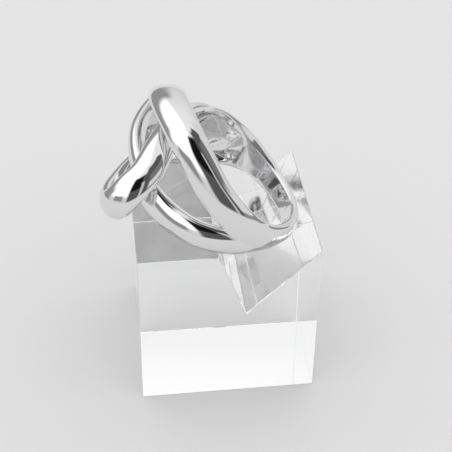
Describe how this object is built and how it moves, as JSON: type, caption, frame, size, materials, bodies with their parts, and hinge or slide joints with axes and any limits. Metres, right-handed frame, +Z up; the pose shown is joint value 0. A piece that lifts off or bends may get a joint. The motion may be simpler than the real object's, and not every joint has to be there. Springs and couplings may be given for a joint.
{
  "type": "interlocking ring on clear display block",
  "caption": "Polished finger ring whose two looped strips pass through each other on its head, lying in the notch of a clear display block.",
  "frame": {"origin": "middle of the display block's base, on the surface it stands on", "axes": "+Z up, +Y along the block's notch towards the back, +X towards the notch's sloping side"},
  "size_m": [0.0282, 0.0243, 0.0413],
  "materials": {
    "silver": "polished silver",
    "clear_block": "polished clear acrylic"
  },
  "bodies": {
    "root": {"ring": "silver", "display_block": "clear_block"}
  },
  "joints": []
}
